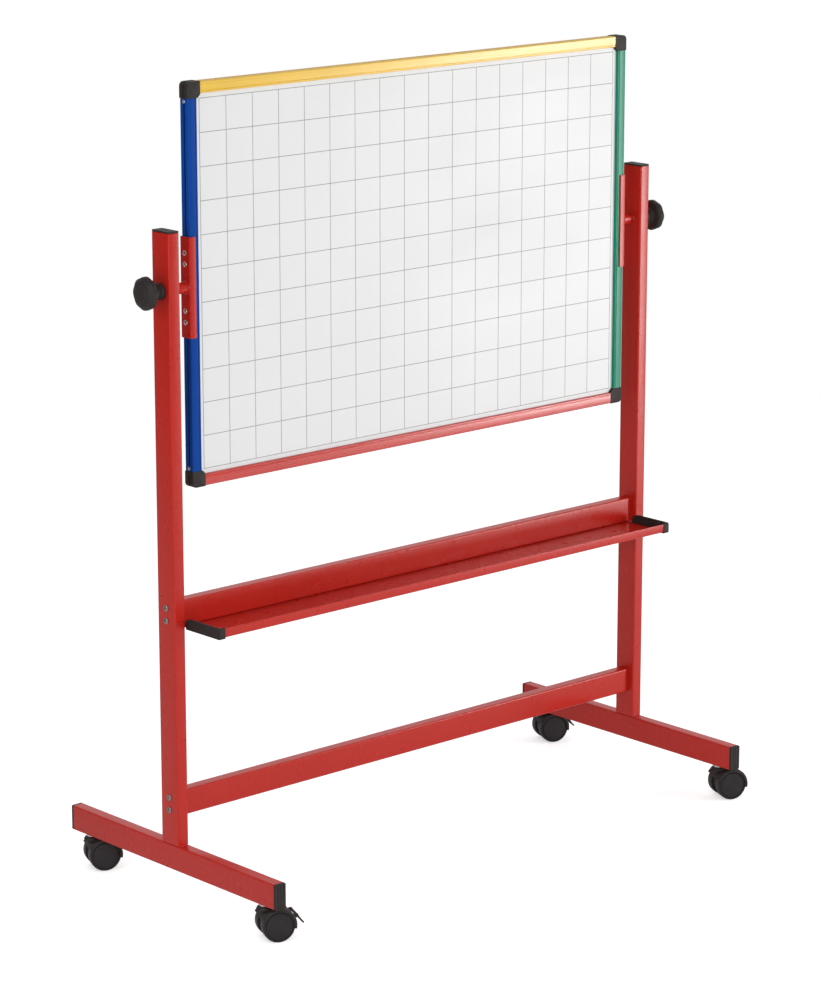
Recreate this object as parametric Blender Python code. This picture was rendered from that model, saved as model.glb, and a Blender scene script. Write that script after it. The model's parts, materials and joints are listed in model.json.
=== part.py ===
"""Rolling whiteboard: a double-sided board that turns over between two castored uprights.

Metres, +Z up. The origin is on the floor under the middle of the stand, X runs along the
board, and the front writing face looks towards -Y.
"""
import bpy
import bmesh
from math import atan2, cos, degrees, pi, radians, sin
from mathutils import Matrix, Vector

MM = 0.001
GAP = 0.3 * MM              # clearance between neighbouring pieces

# ---------------------------------------------------------------- driving dimensions
STAND_W = 995 * MM          # over the outer faces of the uprights
TUBE_A = 20 * MM            # narrow side of every steel tube
TUBE_B = 40 * MM            # wide side
TUBE_WALL = 1.5 * MM
TUBE_R = 2.5 * MM           # outer corner radius of the tube
FOOT_L = 484 * MM           # foot tube, without its end plugs
FOOT_Z = 56 * MM            # underside of the feet
UPRIGHT_TOP = 1028 * MM
CROSS_BAR_Z = 159.5 * MM    # centre heights of the two bars
TRAY_BAR_Z = 455 * MM
BAR_PLATE = 4 * MM          # tapped plate welded in each bar end

BOARD_W = 900 * MM
BOARD_H = 600 * MM
PIVOT_Z = 942 * MM
RAIL_W = 17.5 * MM          # rail width seen from the front
RAIL_D = 18 * MM            # rail depth, front to back
CORE_T = 7 * MM
SHEET_T = 0.7 * MM
CORNER_LEG = 24.3 * MM      # corner cap, along each rail
CORNER_IN = 19.4 * MM       # corner cap, inwards from its outer faces
SHEET_CUT = 7.4 * MM        # off the sheets' corners, clear of the caps
CAP_PROUD = 0.6 * MM

SHELF_T = 1.5 * MM
SHELF_FRONT = -97 * MM      # front face of the lip
SHELF_LIP = 12.5 * MM
SHELF_END = 472.5 * MM      # half the length of the shelf

BRACKET_L = 150 * MM
BRACKET_T = 2 * MM
BRACKET_FLANGE = 11.8 * MM
BOSS_R = 8.5 * MM
BOSS_NECK_R = 7.5 * MM
SPINDLE_R = 5 * MM
KNOB_R = 25 * MM

WHEEL_R = 25 * MM
WHEEL_T = 15.5 * MM
WHEEL_SIDES = 28
CASTOR_W = 46 * MM          # over both wheels
CASTOR_TRAIL = 16 * MM
CASTOR_Y = 209 * MM         # stems, from the middle of the foot
CASTOR_TURN = -22           # degrees, all four swivelled alike
AXLE_R = 3 * MM
STEM_R = 5 * MM
BRAKED = ("front_left", "back_right")
LEVER_DROP = 57             # degrees below level, the brake pressed on

# ---------------------------------------------------------------- derived places
UPRIGHT_X = (STAND_W - TUBE_A) / 2
UPRIGHT_IN = STAND_W / 2 - TUBE_A
FOOT_TOP = FOOT_Z + TUBE_B
SHELF_Z = TRAY_BAR_Z - TUBE_B / 2 - GAP     # top face of the shelf floor
WEB_X = BOARD_W / 2 + GAP                   # inner face of the bracket web
KNOB_X = STAND_W / 2 + GAP                  # foot of the knob's neck
SLOT_HALF = 2.2 * MM                        # half width of the slot down a rail's outer side
CHAMBER = (3.1 * MM, 7.2 * MM, 6.4 * MM)    # chamber behind the slot: from, to, half depth
GROOVE = (8.7 * MM, CORE_T / 2 + GAP)       # rail groove: from the edge, half depth
BOLT_RISE = 9.8 * MM                        # bolts above and below a bar's centre
BOLT_R = 3 * MM


# ---------------------------------------------------------------- helpers
def material(name, colour, roughness, metallic=0.0):
    mat = bpy.data.materials.new(name)
    mat.use_nodes = True
    shader = mat.node_tree.nodes["Principled BSDF"]
    shader.inputs["Base Color"].default_value = (*colour, 1.0)
    shader.inputs["Roughness"].default_value = roughness
    shader.inputs["Metallic"].default_value = metallic
    return mat


def finish_object(name, bm, mat, smooth=False, origin=None):
    """Make the object of a closed bmesh, with its origin at the given point."""
    bmesh.ops.recalc_face_normals(bm, faces=bm.faces)
    place = Vector(origin) if origin else Vector((0, 0, 0))
    bmesh.ops.translate(bm, verts=bm.verts, vec=-place)
    mesh = bpy.data.meshes.new(name)
    bm.to_mesh(mesh)
    bm.free()
    obj = bpy.data.objects.new(name, mesh)
    obj.location = place
    bpy.context.scene.collection.objects.link(obj)
    mesh.materials.append(mat)
    if smooth:
        mesh.shade_smooth()
        mesh.set_sharp_from_angle(angle=radians(35))
    return obj


def prism(outline, depth, axis="Z", start=0.0):
    """Extrude a closed outline. It lies in YZ, XZ or XY for the axis X, Y or Z."""
    bm = bmesh.new()
    lift = {"X": lambda p, w: (w, p[0], p[1]),
            "Y": lambda p, w: (p[0], w, p[1]),
            "Z": lambda p, w: (p[0], p[1], w)}[axis]
    face = bm.faces.new([bm.verts.new(lift(p, start)) for p in outline])
    grown = bmesh.ops.extrude_face_region(bm, geom=[face])["geom"]
    top = [v for v in grown if isinstance(v, bmesh.types.BMVert)]
    bmesh.ops.translate(bm, verts=top, vec=Vector(lift((0, 0), depth)))
    bmesh.ops.recalc_face_normals(bm, faces=bm.faces)
    return bm


def block(low, high):
    """A box between two corners."""
    outline = [(low[0], low[1]), (high[0], low[1]), (high[0], high[1]), (low[0], high[1])]
    return prism(outline, high[2] - low[2], "Z", low[2])


def arc(centre, radius, first, last, steps):
    """Points on an arc, angles in degrees."""
    turn = [radians(first + (last - first) * i / steps) for i in range(steps + 1)]
    return [(centre[0] + radius * cos(a), centre[1] + radius * sin(a)) for a in turn]


def rounded(half_a, half_b, radius, centre=(0, 0), steps=2):
    """Outline of a rectangle with round corners."""
    points = []
    for i, (sa, sb) in enumerate(((1, 1), (-1, 1), (-1, -1), (1, -1))):
        corner = (centre[0] + sa * (half_a - radius), centre[1] + sb * (half_b - radius))
        points += arc(corner, radius, 90 * i, 90 * i + 90, steps)
    return points


def cylinder(centre, radius, length, axis="Z", sides=16, flat_down=False):
    """A cylinder that starts at the centre point and runs along +axis."""
    half = 180 / sides if flat_down else 0
    plane = {"X": (1, 2), "Y": (0, 2), "Z": (0, 1)}[axis]
    middle = (centre[plane[0]], centre[plane[1]])
    outline = arc(middle, radius, half, half + 360, sides)[:-1]
    return prism(outline, length, axis, centre["XYZ".index(axis)])


def lathe(profile, sides, axis="X", centre=(0, 0, 0), radius_rule=None):
    """Turn a profile of (along, radius) points. A radius of 0 closes an end with a point."""
    bm = bmesh.new()
    along = {"X": Vector((1, 0, 0)), "Y": Vector((0, 1, 0)), "Z": Vector((0, 0, 1))}[axis]
    side_a = {"X": Vector((0, 1, 0)), "Y": Vector((0, 0, 1)), "Z": Vector((1, 0, 0))}[axis]
    side_b = along.cross(side_a)
    rings = []
    for place, radius in profile:
        if radius == 0:
            rings.append([bm.verts.new(Vector(centre) + along * place)])
            continue
        ring = []
        for i in range(sides):
            angle = 2 * pi * (i + 0.5) / sides
            reach = radius_rule(radius, angle) if radius_rule else radius
            spoke = side_a * cos(angle) + side_b * sin(angle)
            ring.append(bm.verts.new(Vector(centre) + along * place + spoke * reach))
        rings.append(ring)
    for low, high in zip(rings, rings[1:]):
        for i in range(sides):
            j = (i + 1) % sides
            corners = [low[i % len(low)], low[j % len(low)], high[j % len(high)], high[i % len(high)]]
            bm.faces.new(list(dict.fromkeys(corners)))
    for end in (rings[0], rings[-1]):
        if len(end) > 1:
            bm.faces.new(end)
    bmesh.ops.recalc_face_normals(bm, faces=bm.faces)
    return bm


def combine(base, others, operation):
    """Boolean union or difference of closed bmeshes, with Blender's exact solver."""
    def temporary(bm):
        mesh = bpy.data.meshes.new("temporary")
        bm.to_mesh(mesh)
        bm.free()
        obj = bpy.data.objects.new("temporary", mesh)
        bpy.context.scene.collection.objects.link(obj)
        return obj

    body = temporary(base)
    tools = [temporary(bm) for bm in others]
    for tool in tools:
        step = body.modifiers.new("step", "BOOLEAN")
        step.operation = operation
        step.solver = "EXACT"
        step.object = tool
    bpy.context.view_layer.update()
    seen = body.evaluated_get(bpy.context.evaluated_depsgraph_get())
    result = bmesh.new()
    result.from_mesh(seen.to_mesh())
    seen.to_mesh_clear()
    for obj in [body, *tools]:
        bpy.data.objects.remove(obj, do_unlink=True)
    return result


def cut(base, cutters):
    return combine(base, cutters, "DIFFERENCE")


def fuse(base, others):
    return combine(base, others, "UNION")


def turned(bm, matrix):
    bmesh.ops.transform(bm, matrix=matrix, verts=bm.verts)
    return bm


def mirror_x(bm):
    """The mirror image in X, with its faces still pointing out."""
    bmesh.ops.transform(bm, matrix=Matrix.Diagonal((-1, 1, 1, 1)), verts=bm.verts)
    bmesh.ops.reverse_faces(bm, faces=bm.faces)
    return bm


# ---------------------------------------------------------------- stand
def tube(half_a, half_b, length, axis, centre, start):
    """A rectangular steel tube, open at both ends."""
    outer = prism(rounded(half_a, half_b, TUBE_R, centre), length, axis, start)
    inside = rounded(half_a - TUBE_WALL, half_b - TUBE_WALL, TUBE_R - TUBE_WALL, centre)
    return cut(outer, [prism(inside, length + 2 * MM, axis, start - 1 * MM)])


def bolt_heights():
    for bar_z in (CROSS_BAR_Z, TRAY_BAR_Z):
        for rise in (-BOLT_RISE, BOLT_RISE):
            yield bar_z + rise


def upright(side, mat):
    """Upright tube on the +X side, drilled for the bar bolts and the pivot spindle."""
    start = FOOT_TOP + GAP
    body = tube(TUBE_A / 2, TUBE_B / 2, UPRIGHT_TOP - start, "Z", (UPRIGHT_X, 0), start)
    reach = TUBE_A + 4 * MM
    holes = [cylinder((UPRIGHT_IN - 2 * MM, 0, z), BOLT_R + GAP, reach, "X", 12)
             for z in bolt_heights()]
    holes.append(cylinder((UPRIGHT_IN - 2 * MM, 0, PIVOT_Z), SPINDLE_R + GAP, reach, "X", 16))
    body = cut(body, holes)
    if side == "left":
        mirror_x(body)
    finish_object(f"upright_{side}", body, mat, smooth=True)


def foot(side, mat):
    """Foot tube on the +X side, drilled from below for the castor stems."""
    body = tube(TUBE_A / 2, TUBE_B / 2, FOOT_L, "Y",
                (UPRIGHT_X, FOOT_Z + TUBE_B / 2), -FOOT_L / 2)
    holes = [cylinder((UPRIGHT_X, sign * CASTOR_Y, FOOT_Z - 2 * MM), STEM_R + GAP, 6 * MM, "Z", 16)
             for sign in (-1, 1)]
    body = cut(body, holes)
    if side == "left":
        mirror_x(body)
    finish_object(f"foot_{side}", body, mat, smooth=True)


def bar(name, height, mat):
    """Bar between the uprights: tube with a tapped plate in each end."""
    half = UPRIGHT_IN - GAP
    outer = prism(rounded(TUBE_A / 2, TUBE_B / 2, TUBE_R, (0, height)), 2 * half, "X", -half)
    hollow = prism(rounded(TUBE_A / 2 - TUBE_WALL, TUBE_B / 2 - TUBE_WALL,
                           TUBE_R - TUBE_WALL, (0, height)),
                   2 * (half - BAR_PLATE), "X", BAR_PLATE - half)
    holes = [cylinder((start, 0, height + rise), BOLT_R + GAP, BAR_PLATE + 4 * MM, "X", 12)
             for start in (-half - 2 * MM, half - BAR_PLATE - 2 * MM)
             for rise in (-BOLT_RISE, BOLT_RISE)]
    finish_object(name, cut(outer, [hollow, *holes]), mat, smooth=True)


def bolt(name, side, height, mat):
    """Socket-head screw through an upright into a bar's end plate."""
    face = STAND_W / 2 + GAP
    tip = UPRIGHT_IN - BAR_PLATE - 3 * MM
    head_r, head_t, socket_r = 5 * MM, 2.2 * MM, 2 * MM
    profile = [(tip - face, BOLT_R - 0.5 * MM), (tip - face + 0.6 * MM, BOLT_R), (0, BOLT_R),
               (0, head_r), (head_t * 0.6, head_r), (head_t, head_r - 1.2 * MM)]
    shape = lathe(profile, 12, "X", (face, 0, height))
    socket = cylinder((face + head_t - 1.4 * MM, 0, height), socket_r, 3 * MM, "X", 6)
    shape = cut(shape, [socket])
    if side == "left":
        mirror_x(shape)
    finish_object(name, shape, mat, smooth=True)


def tray_shelf(mat):
    """Folded shelf: a floor under the tray bar, and a lip along the front."""
    low = SHELF_Z - SHELF_T
    bend = 1.5 * MM
    back = TUBE_A / 2
    outline = [(back, SHELF_Z), (back, low)]
    outline += arc((SHELF_FRONT + bend, low + bend), bend, 270, 180, 3)
    outline += [(SHELF_FRONT, SHELF_Z + SHELF_LIP), (SHELF_FRONT + SHELF_T, SHELF_Z + SHELF_LIP),
                (SHELF_FRONT + SHELF_T, SHELF_Z)]
    shape = prism(outline, 2 * SHELF_END, "X", -SHELF_END)
    finish_object("tray_shelf", shape, mat, smooth=True)


def tray_end_cap(side, mat):
    """Black cap over the +X end of the shelf: an end wall with flanges round the sheet."""
    wall = 2.2 * MM
    reach = 8 * MM                  # flanges, along the shelf
    back = -18 * MM
    skin = 1.4 * MM
    low = SHELF_Z - SHELF_T - GAP - skin
    high = SHELF_Z + SHELF_LIP + GAP + skin
    front = SHELF_FRONT - GAP - skin
    inner = SHELF_FRONT + SHELF_T + GAP
    radius = 3 * MM
    end = SHELF_END + GAP
    outline = [(back, high - 4 * MM), (back, low)]
    outline += arc((front + radius, low + radius), radius, 270, 180, 4)
    outline += arc((front + radius, high - radius), radius, 180, 90, 4)
    outline += [(back - 10 * MM, high)]
    end_wall = prism(outline, wall, "X", end)
    hem = [(back, low + skin), (back, low)]
    hem += arc((front + radius, low + radius), radius, 270, 180, 4)
    hem += arc((front + radius, high - radius), radius, 180, 90, 4)
    hem += [(inner + skin, high), (inner + skin, high - 5 * MM), (inner, high - 5 * MM),
            (inner, high - skin), (front + skin, high - skin), (front + skin, low + skin)]
    shape = fuse(end_wall, [prism(hem, reach + 0.5 * MM, "X", end - reach)])
    if side == "left":
        mirror_x(shape)
    finish_object(f"tray_end_cap_{side}", shape, mat, smooth=True)


def plug(half_a, half_b, flange, depth, ribs):
    """Tube plug standing on z=0: a flange above, a hollow stub with thin fins below."""
    head = prism(rounded(half_a, half_b, TUBE_R), flange, "Z", 0)
    bmesh.ops.bevel(head, geom=[e for e in head.edges if all(v.co.z > flange / 2 for v in e.verts)],
                    offset=0.8 * MM, segments=1, affect="EDGES")
    fit = TUBE_WALL + GAP
    stub = prism(rounded(half_a - fit, half_b - fit, 0.8 * MM), depth + 0.5 * MM, "Z", -depth)
    hollow = prism(rounded(half_a - fit - 2 * MM, half_b - fit - 2 * MM, 0.8 * MM),
                   depth + 1 * MM, "Z", -depth - 1 * MM)
    grooves = []
    for i in range(ribs):
        middle = (i - (ribs - 1) / 2) * 2 * half_a / (ribs + 1)
        grooves.append(block((middle - 0.7 * MM, -half_b - 1 * MM, flange - 0.8 * MM),
                             (middle + 0.7 * MM, half_b + 1 * MM, flange + 1 * MM)))
    return cut(fuse(head, [stub]), [hollow, *grooves])


def upright_cap(side, mat):
    """Plain plastic cap in the top of an upright."""
    shape = plug(TUBE_A / 2, TUBE_B / 2, 2.6 * MM, 12 * MM, 0)
    turned(shape, Matrix.Translation((UPRIGHT_X, 0, UPRIGHT_TOP + GAP)))
    if side == "left":
        mirror_x(shape)
    finish_object(f"upright_cap_{side}", shape, mat, smooth=True)


def foot_plug(side, end, mat):
    """Ribbed plug in a foot's end. The ribs run up and down."""
    sign = -1 if end == "front" else 1
    shape = plug(TUBE_A / 2, TUBE_B / 2, 4 * MM, 14 * MM, 3)
    lay_over = Matrix.Rotation(radians(90 * -sign), 4, "X")
    place = (UPRIGHT_X, sign * (FOOT_L / 2 + GAP), FOOT_Z + TUBE_B / 2)
    turned(shape, Matrix.Translation(place) @ lay_over)
    if side == "left":
        mirror_x(shape)
    finish_object(f"foot_plug_{end}_{side}", shape, mat, smooth=True)


# ---------------------------------------------------------------- board
def rail_profile():
    """Rail section as (distance from the outer edge, depth), with a T-slot down its outer side."""
    half = RAIL_D / 2
    nose = 2 * MM
    side = 2.5 * MM
    near, far, room = CHAMBER
    points = [(0, SLOT_HALF), (near, SLOT_HALF), (near, room), (far, room),
              (far, -room), (near, -room), (near, -SLOT_HALF), (0, -SLOT_HALF)]
    points += arc((nose, nose - half), nose, 180, 270, 3)
    points += arc((RAIL_W - side, side - half), side, 270, 360, 2)
    points += [(RAIL_W, -GROOVE[1]), (GROOVE[0], -GROOVE[1]),
               (GROOVE[0], GROOVE[1]), (RAIL_W, GROOVE[1])]
    points += arc((RAIL_W - side, half - side), side, 0, 90, 2)
    points += arc((nose, half - nose), nose, 90, 180, 3)
    return points


def rail(name, length, quarter_turns, offset, mat):
    """Rail, drawn at +X and turned about Y."""
    shape = prism([(offset - s, d) for s, d in rail_profile()], length, "Z", -length / 2)
    turned(shape, Matrix.Translation((0, 0, PIVOT_Z)) @ Matrix.Rotation(radians(90) * quarter_turns, 4, "Y"))
    finish_object(name, shape, mat, smooth=True, origin=(0, 0, PIVOT_Z))


def corner_cap(name, sign_x, sign_z, mat):
    """Black cap round a corner of the board, with a lug up the chamber of each rail."""
    half_w, half_h = BOARD_W / 2, BOARD_H / 2
    out_x, out_z = half_w + CAP_PROUD, half_h + CAP_PROUD
    depth = RAIL_D / 2 + CAP_PROUD
    leg = CORNER_LEG
    radius = 7 * MM
    in_x, in_z = out_x - CORNER_IN, out_z - CORNER_IN
    outline = [(out_x - leg, out_z), (out_x - leg, in_z), (in_x, out_z - leg), (out_x, out_z - leg)]
    outline += arc((out_x - radius, out_z - radius), radius, 0, 90, 5)
    shape = prism(outline, 2 * depth, "Y", -depth)
    rims = [e for e in shape.edges
            if all(abs(v.co.y) > depth - 0.01 * MM for v in e.verts) and e.verts[0].co.y * e.verts[1].co.y > 0
            and all(v.co.x > in_x + 0.1 * MM and v.co.z > in_z + 0.1 * MM or
                    v.co.x > out_x - 0.1 * MM or v.co.z > out_z - 0.1 * MM for v in e.verts)]
    bmesh.ops.bevel(shape, geom=rims, offset=2 * MM, segments=2, affect="EDGES")
    low, high, half = CHAMBER
    lug = 12 * MM
    fit = GAP
    lugs = [block((out_x - leg - lug, fit - half, half_h - high + fit),
                  (out_x - leg + 1 * MM, half - fit, half_h - low - fit)),
            block((half_w - high + fit, fit - half, out_z - leg - lug),
                  (half_w - low - fit, half - fit, out_z - leg + 1 * MM))]
    slot = block((0, -GROOVE[1], 0), (half_w - GROOVE[0], GROOVE[1], half_h - GROOVE[0]))
    shape = cut(fuse(shape, lugs), [slot])
    if sign_x < 0:
        mirror_x(shape)
    if sign_z < 0:
        turned(shape, Matrix.Diagonal((1, 1, -1, 1)))
        bmesh.ops.reverse_faces(shape, faces=shape.faces)
    turned(shape, Matrix.Translation((0, 0, PIVOT_Z)))
    finish_object(name, shape, mat, smooth=True, origin=(0, 0, PIVOT_Z))


def panel(mats):
    """Core in the rails' grooves, with a steel writing sheet on each side between the rails."""
    core_x = BOARD_W / 2 - GROOVE[0] - GAP
    core_z = BOARD_H / 2 - GROOVE[0] - GAP
    core = block((-core_x, -CORE_T / 2, PIVOT_Z - core_z), (core_x, CORE_T / 2, PIVOT_Z + core_z))
    finish_object("board_core", core, mats["core"], origin=(0, 0, PIVOT_Z))
    sheet_x = BOARD_W / 2 - RAIL_W - GAP
    sheet_z = BOARD_H / 2 - RAIL_W - GAP
    outline = []
    for x, z in ((1, 1), (-1, 1), (-1, -1), (1, -1)):
        along = (x * (sheet_x - SHEET_CUT), PIVOT_Z + z * sheet_z)
        up = (x * sheet_x, PIVOT_Z + z * (sheet_z - SHEET_CUT))
        outline += [up, along] if x == z else [along, up]
    near = CORE_T / 2 + GAP
    for name, start in (("front_sheet", -near - SHEET_T), ("back_sheet", near)):
        finish_object(name, prism(outline, SHEET_T, "Y", start), mats["sheet"],
                      origin=(0, 0, PIVOT_Z))


def pivot_bracket(side, mat):
    """Channel over a side rail, with a boss and the threaded spindle welded to its web."""
    flange_in = RAIL_D / 2 + GAP
    flange_out = flange_in + BRACKET_T
    lip = WEB_X + BRACKET_T - BRACKET_FLANGE    # free edge of the flanges
    bend = 2.2 * MM
    web_out = WEB_X + BRACKET_T
    outline = [(lip, -flange_out)]
    outline += arc((web_out - bend, bend - flange_out), bend, 270, 360, 3)
    outline += arc((web_out - bend, flange_out - bend), bend, 0, 90, 3)
    outline += [(lip, flange_out), (lip, flange_in), (WEB_X, flange_in),
                (WEB_X, -flange_in), (lip, -flange_in)]
    channel = prism(outline, BRACKET_L, "Z", PIVOT_Z - BRACKET_L / 2)
    boss_end = UPRIGHT_IN - 1.8 * MM
    profile = [(web_out - 1 * MM, BOSS_R), (boss_end - 8 * MM, BOSS_R), (boss_end - 7 * MM, BOSS_NECK_R),
               (boss_end, BOSS_NECK_R), (boss_end, SPINDLE_R), (KNOB_X + 16 * MM, SPINDLE_R),
               (KNOB_X + 17 * MM, SPINDLE_R - 1 * MM)]
    shape = fuse(channel, [lathe(profile, 24, "X", (0, 0, PIVOT_Z))])
    if side == "left":
        mirror_x(shape)
    finish_object(f"pivot_bracket_{side}", shape, mat, smooth=True, origin=(0, 0, PIVOT_Z))


def knob(side, mat):
    """Lobed clamping knob, screwed on the spindle. Its neck stands on the upright."""
    lobes = 8
    core = 20 * MM

    def lobed(radius, angle):
        wave = 0.5 - 0.5 * cos(lobes * angle)
        return radius - 1.2 * MM * wave if radius > core else radius

    bore_r, bore_end = SPINDLE_R + GAP, 17.5 * MM
    profile = [(bore_end, 0), (bore_end, bore_r), (0, bore_r), (0, 12.5 * MM), (3 * MM, 12.5 * MM),
               (14 * MM, 10.5 * MM), (20 * MM, 13 * MM), (22.5 * MM, 22 * MM), (24.5 * MM, KNOB_R - 0.8 * MM),
               (27.5 * MM, KNOB_R), (32 * MM, KNOB_R - 1 * MM), (35 * MM, 20.5 * MM),
               (37 * MM, 13 * MM), (37.6 * MM, 0)]
    shape = lathe(profile, 4 * lobes, "X", (KNOB_X, 0, PIVOT_Z), lobed)
    if side == "left":
        mirror_x(shape)
    sign = -1 if side == "left" else 1
    finish_object(f"knob_{side}", shape, mat, smooth=True, origin=(sign * KNOB_X, 0, PIVOT_Z))


# ---------------------------------------------------------------- castors
# Drawn with the stem axis at the origin, the axle along Y and the wheels trailing to +X,
# then swivelled and moved under the foot.
def castor_frame(side, end):
    x = UPRIGHT_X if side == "right" else -UPRIGHT_X
    y = -CASTOR_Y if end == "front" else CASTOR_Y
    return Matrix.Translation((x, y, 0)) @ Matrix.Rotation(radians(CASTOR_TURN), 4, "Z")


WEB_T = CASTOR_W - 2 * WHEEL_T - 1 * MM     # housing web between the wheels
HUB = Vector((CASTOR_TRAIL, 0, WHEEL_R))
HOOD_IN = WHEEL_R + 1 * MM
HOOD_OUT = WHEEL_R + 2.6 * MM
HOOD_ARC = (-12, 152)                       # degrees, from the trailing side over the top
LEVER_AT = (29 * MM, 12 * MM)               # lever pin, from the axle
LEVER_KNUCKLE = 2.8 * MM                    # outer radius of the lever's hinge
LEVER_HALF = 12 * MM
PIN_R = 1.2 * MM


def lever_ears():
    """Two ears on the hood that carry the brake lever, joined by its pin."""
    pin = (HUB.x + LEVER_AT[0], HUB.z + LEVER_AT[1])
    angle = degrees(atan2(LEVER_AT[1], LEVER_AT[0]))
    root = (HOOD_IN + HOOD_OUT) / 2
    outline = arc(pin, LEVER_KNUCKLE, angle - 90, angle + 90, 6)
    outline += arc((HUB.x, HUB.z), root, angle + 8, angle - 8, 2)
    ear = 2.4 * MM
    pieces = [prism(outline, ear, "Y", start)
              for start in (LEVER_HALF + GAP, -LEVER_HALF - GAP - ear)]
    reach = LEVER_HALF + GAP + ear / 2
    pieces.append(cylinder((pin[0], -reach, pin[1]), PIN_R, 2 * reach, "Y", 10))
    return pieces


def housing(place, name, mat, braked):
    """Web between the wheels, hood over their treads, and a socket for the stem."""
    hub = (HUB.x, HUB.z)
    first, last = HOOD_ARC
    half = CASTOR_W / 2 - 0.6 * MM
    band = arc(hub, HOOD_OUT, first, last, 12) + arc(hub, HOOD_IN, last, first, 12)
    hood = prism(band, 2 * half, "Y", -half)
    web_outline = arc(hub, HOOD_IN + 0.6 * MM, first, last, 12)
    web_outline += [(hub[0] - 14 * MM, 12 * MM), (hub[0] + 8 * MM, 12 * MM)]
    web = prism(web_outline, WEB_T, "Y", -WEB_T / 2)
    socket_low = 20 * MM
    socket = cylinder((0, 0, socket_low), STEM_R + 2 * MM, FOOT_Z - 3 * MM - socket_low, "Z", 16)
    bores = [cylinder((0, 0, socket_low + 7 * MM), STEM_R + GAP, FOOT_Z, "Z", 16),
             cylinder((hub[0], -CASTOR_W / 2, hub[1]), AXLE_R + GAP, CASTOR_W, "Y", 12)]
    shape = fuse(hood, [web, socket, *(lever_ears() if braked else [])])
    origin = place @ Vector((0, 0, FOOT_Z))
    finish_object(name, turned(cut(shape, bores), place), mat, smooth=True, origin=origin)


def stem(place, name, mat):
    """Steel stem, fixed in the foot and running in the housing's socket."""
    profile = [(27.5 * MM, STEM_R - 0.8 * MM), (28.5 * MM, STEM_R), (FOOT_Z - 2.6 * MM, STEM_R),
               (FOOT_Z - 2.6 * MM, 8 * MM), (FOOT_Z - GAP, 8 * MM), (FOOT_Z - GAP, STEM_R),
               (FOOT_Z + 30 * MM, STEM_R), (FOOT_Z + 31 * MM, STEM_R - 1 * MM)]
    finish_object(name, turned(lathe(profile, 16, "Z"), place), mat, smooth=True)


def axle(place, name, mat):
    """Steel axle through the housing's web into both wheels."""
    reach = CASTOR_W / 2 - 2.2 * MM
    profile = [(-reach, AXLE_R - 0.4 * MM), (0.5 * MM - reach, AXLE_R),
               (reach - 0.5 * MM, AXLE_R), (reach, AXLE_R - 0.4 * MM)]
    shape = lathe(profile, 12, "Y", HUB)
    finish_object(name, turned(shape, place), mat, smooth=True, origin=place @ HUB)


def wheel(place, name, sign, mat):
    """One wheel of a pair: a tread with a recessed outer disc and a blind axle bore."""
    inner = CASTOR_W / 2 - WHEEL_T
    outer = CASTOR_W / 2
    flat_r = WHEEL_R / cos(pi / WHEEL_SIDES)        # puts one flat of the tread on the floor
    bore_r = (AXLE_R + GAP) / cos(pi / WHEEL_SIDES)
    bore_end = outer - 1.8 * MM
    profile = [(bore_end, 0), (bore_end, bore_r), (inner, bore_r), (inner, flat_r - 1.6 * MM),
               (inner + 1.2 * MM, flat_r), (outer - 2.2 * MM, flat_r),
               (outer - 0.7 * MM, flat_r - 1.2 * MM), (outer - 0.7 * MM, flat_r - 3.2 * MM),
               (outer - 1.5 * MM, flat_r - 3.8 * MM), (outer, 0)]
    shape = lathe([(sign * along, radius) for along, radius in profile], WHEEL_SIDES, "Y", HUB)
    finish_object(name, turned(shape, place), mat, smooth=True, origin=place @ HUB)


def brake_lever(place, name, mat):
    """Toe lever on the trailing side of the hood, with a knuckle round its pin."""
    pin = Vector((HUB.x + LEVER_AT[0], 0, HUB.z + LEVER_AT[1]))
    knuckle = LEVER_KNUCKLE - GAP
    length, thick = 19 * MM, 2.4 * MM
    outline = arc((0, 0), knuckle, 90, 240, 8)
    outline += [(3 * MM, knuckle - thick - 0.6 * MM), (length - 3 * MM, knuckle - thick),
                (length, knuckle - 0.6 * MM), (length - 1.5 * MM, knuckle + 1.2 * MM),
                (length - 5 * MM, knuckle)]
    bore = cylinder((0, -LEVER_HALF - 1 * MM, 0), PIN_R + GAP, 2 * LEVER_HALF + 2 * MM, "Y", 10)
    shape = cut(prism(outline, 2 * LEVER_HALF, "Y", -LEVER_HALF), [bore])
    hang = Matrix.Translation(pin) @ Matrix.Rotation(radians(LEVER_DROP), 4, "Y")
    finish_object(name, turned(shape, place @ hang), mat, smooth=True, origin=place @ pin)


def castor(side, end, mats):
    place = castor_frame(side, end)
    tag = f"{end}_{side}"
    braked = tag in BRAKED
    stem(place, f"castor_stem_{tag}", mats["steel"])
    housing(place, f"castor_housing_{tag}", mats["plastic"], braked)
    axle(place, f"castor_axle_{tag}", mats["steel"])
    wheel(place, f"castor_wheel_a_{tag}", -1, mats["wheel"])
    wheel(place, f"castor_wheel_b_{tag}", 1, mats["wheel"])
    if braked:
        brake_lever(place, f"brake_lever_{tag}", mats["plastic"])


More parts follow.
